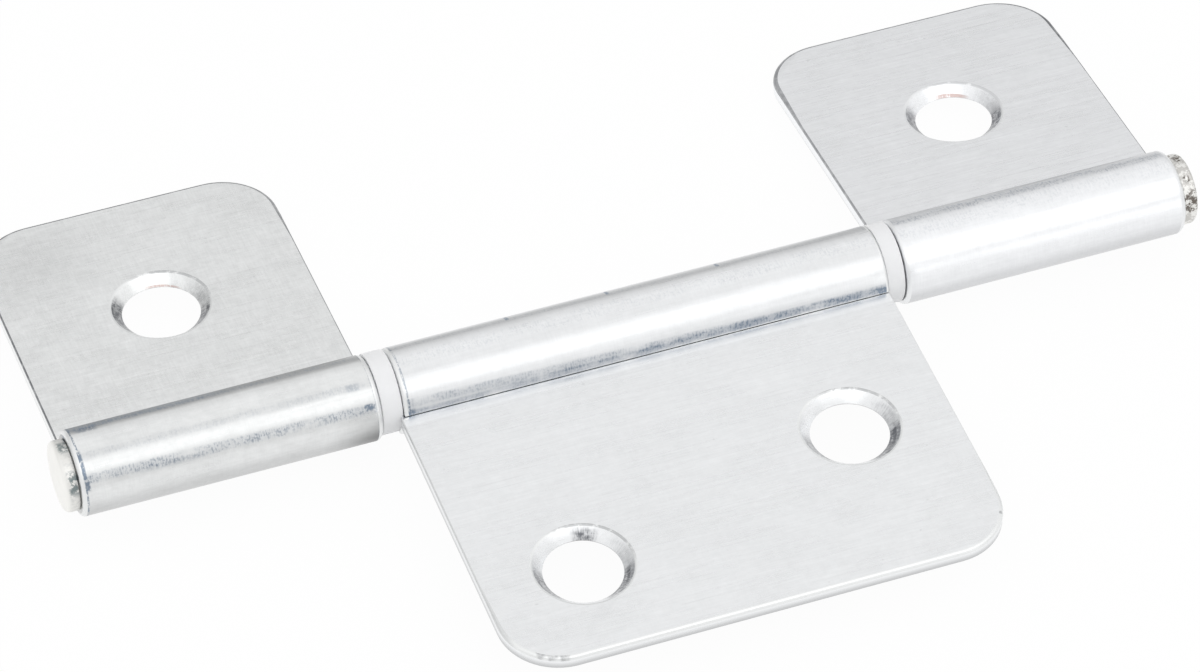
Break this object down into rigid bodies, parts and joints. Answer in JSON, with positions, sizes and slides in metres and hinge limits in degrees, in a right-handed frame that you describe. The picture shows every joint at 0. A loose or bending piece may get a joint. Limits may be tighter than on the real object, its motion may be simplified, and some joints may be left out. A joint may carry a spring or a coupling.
{
  "type": "three-leaf hinge",
  "caption": "Sheet-metal hinge with a centre leaf and an outer leaf at each end, all turning about one riveted pin with plastic washers between the knuckles.",
  "frame": {"origin": "middle of the centre leaf's two-hole screw pattern, on its mounting face; the pin's axis lies 15.55 mm away at +Y and 0.45 mm up", "axes": "+X along the pin towards its riveted end, +Y from the centre leaf towards the outer leaves, +Z out of the countersunk face of the centre leaf"},
  "size_m": [0.0782, 0.0491, 0.0068],
  "materials": {
    "leaf_metal": "bright zinc plating over lightly brushed sheet",
    "pin_metal": "plated, bright, with marks from riveting",
    "washer_nylon": "natural white nylon, slightly waxy"
  },
  "bodies": {
    "centre_body": {"centre_leaf": "leaf_metal", "hinge_pin": "pin_metal", "left_washer": "washer_nylon", "right_washer": "washer_nylon"},
    "left_body": {"left_leaf": "leaf_metal"},
    "right_body": {"right_leaf": "leaf_metal"}
  },
  "joints": [
    {"name": "left_swing", "type": "hinge", "parent": "centre_body", "child": "left_body", "pos_m": [-0.02797, 0.01555, 0.00045], "axis": [1, 0, 0], "continuous": true},
    {"name": "right_swing", "type": "hinge", "parent": "centre_body", "child": "right_body", "pos_m": [0.02797, 0.01555, 0.00045], "axis": [1, 0, 0], "continuous": true}
  ]
}
